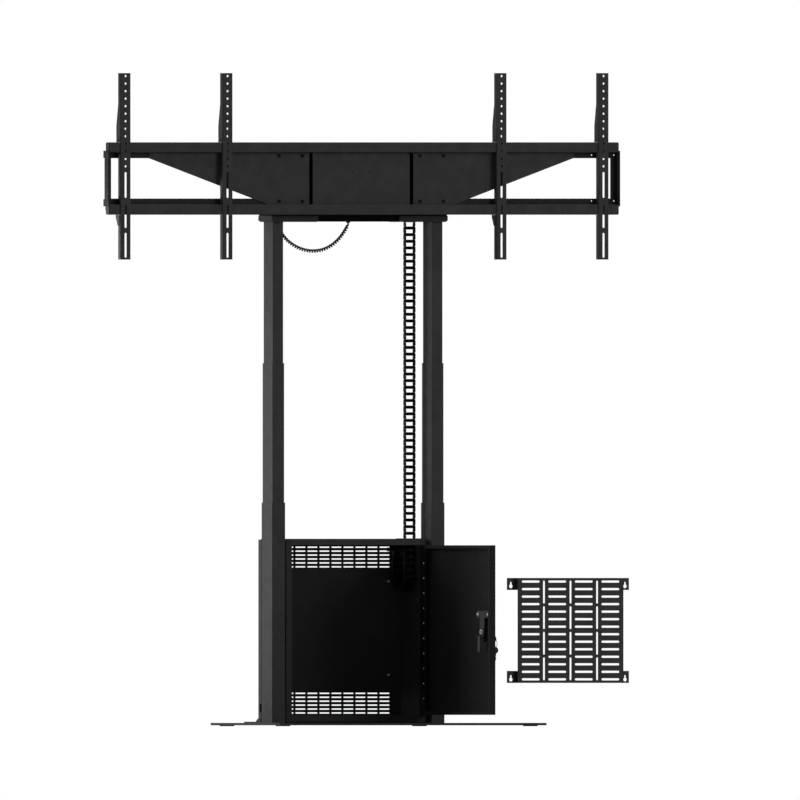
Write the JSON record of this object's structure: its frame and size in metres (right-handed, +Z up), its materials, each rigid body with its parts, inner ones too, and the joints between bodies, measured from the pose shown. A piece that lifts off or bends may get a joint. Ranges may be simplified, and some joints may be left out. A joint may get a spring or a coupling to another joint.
{
  "type": "tv lift mechanism",
  "caption": "Floor-standing two-column telescopic lift that raises side-by-side screens on a rail frame, with an equipment cabinet, hinged door and cable chain between its columns",
  "frame": {"origin": "centre of the bounding box's footprint, on the floor", "axes": "+X to the right along the screen rails, +Y to the back, +Z up"},
  "size_m": [1.9278, 0.766, 2.171],
  "materials": {
    "black_coat": "black powder coat, fine texture, satin",
    "black_plastic": "moulded black plastic, matt",
    "bright_steel": "bright zinc-plated or turned steel",
    "black_rubber": "black rubber"
  },
  "bodies": {
    "root": {"base_plate": "black_coat", "floor_feet": "black_rubber", "outer_tubes": "black_coat", "column_holders": "black_coat", "holder_bolts": "bright_steel", "outer_glides": "black_plastic", "lower_screws": "bright_steel", "cabinet_sides": "black_coat", "cabinet_top": "black_coat", "cabinet_floor": "black_coat", "cabinet_back": "black_coat", "panel_studs": "bright_steel", "cabinet_spacers": "black_coat", "chain_collar": "black_plastic", "chain_anchor_fixed": "black_plastic", "chain_fixed_run": "black_plastic", "hinge_leaf_fixed": "black_coat", "hinge_pin": "bright_steel", "equipment_panel": "black_coat"},
    "door": {"door_panel": "black_coat", "hinge_leaf_door": "black_coat", "door_fasteners": "bright_steel", "lock_plate": "black_plastic", "lock_case": "black_plastic", "lock_clamp": "black_coat"},
    "handle": {"door_handle": "black_plastic", "latch_cam": "black_coat", "cam_nut": "bright_steel"},
    "key": {"lock_plug": "bright_steel", "lock_key": "black_plastic", "spare_key": "black_plastic"},
    "lift_mid": {"mid_tubes": "black_coat", "mid_glides": "black_plastic", "spindle_plates": "black_plastic", "chain_bend": "black_plastic"},
    "turning_left": {"spindle_left": "bright_steel"},
    "turning_right": {"spindle_right": "bright_steel"},
    "lift_head": {"inner_tubes": "black_coat", "spindle_nuts": "black_plastic", "drive_motors": "bright_steel", "head_brackets": "black_coat", "cross_channel": "black_coat", "control_box": "black_plastic", "uprights": "black_coat", "spine_plate": "black_coat", "rail_top": "black_coat", "rail_low": "black_coat", "side_frames": "black_coat", "wing_left": "black_coat", "wing_right": "black_coat", "centre_plate": "black_coat", "frame_screws": "black_coat", "curly_cord": "black_rubber", "cord_glands": "black_plastic", "chain_anchor_head": "black_plastic", "chain_moving_run": "black_plastic"},
    "arm_1": {"screen_arm_1": "black_coat"},
    "arm_2": {"screen_arm_2": "black_coat"},
    "arm_3": {"screen_arm_3": "black_coat"},
    "arm_4": {"screen_arm_4": "black_coat"}
  },
  "joints": [
    {"name": "mid_slide", "type": "slide", "parent": "root", "child": "lift_mid", "axis": [0, 0, 1], "range_m": [-0.43, 0], "deforming": ["chain_fixed_run"]},
    {"name": "head_slide", "type": "slide", "parent": "lift_mid", "child": "lift_head", "axis": [0, 0, 1], "range_m": [-0.43, 0], "deforming": ["chain_moving_run"]},
    {"name": "spindle_left_turn", "type": "hinge", "parent": "lift_mid", "child": "turning_left", "pos_m": [-0.3, 0.12695, 0.5], "axis": [0, 0, 1], "range_deg": [-7750, 10]},
    {"name": "spindle_right_turn", "type": "hinge", "parent": "lift_mid", "child": "turning_right", "pos_m": [0.3, 0.12695, 0.5], "axis": [0, 0, 1], "range_deg": [-7750, 10]},
    {"name": "door_hinge", "type": "hinge", "parent": "root", "child": "door", "pos_m": [0.2435, 0.10405, 0.319], "axis": [0, 0, 1], "range_deg": [-90, 10]},
    {"name": "handle_turn", "type": "hinge", "parent": "door", "child": "handle", "pos_m": [0.27, -0.31995, 0.314], "axis": [1, 0, 0], "range_deg": [-90, 0]},
    {"name": "key_turn", "type": "hinge", "parent": "door", "child": "key", "pos_m": [0.27, -0.31995, 0.29], "axis": [1, 0, 0], "range_deg": [0, 90]},
    {"name": "arm_slide_1", "type": "slide", "parent": "lift_head", "child": "arm_1", "axis": [1, 0, 0], "range_m": [-0.035, 0.15]},
    {"name": "arm_slide_2", "type": "slide", "parent": "lift_head", "child": "arm_2", "axis": [1, 0, 0], "range_m": [-0.15, 0.15]},
    {"name": "arm_slide_3", "type": "slide", "parent": "lift_head", "child": "arm_3", "axis": [1, 0, 0], "range_m": [-0.15, 0.15]},
    {"name": "arm_slide_4", "type": "slide", "parent": "lift_head", "child": "arm_4", "axis": [1, 0, 0], "range_m": [-0.15, 0.035]}
  ],
  "couplings": [
    {"joint": "head_slide", "follows": "mid_slide", "ratio": 1},
    {"joint": "spindle_left_turn", "follows": "mid_slide", "rad_per_m": 314.16},
    {"joint": "spindle_right_turn", "follows": "mid_slide", "rad_per_m": 314.16}
  ]
}
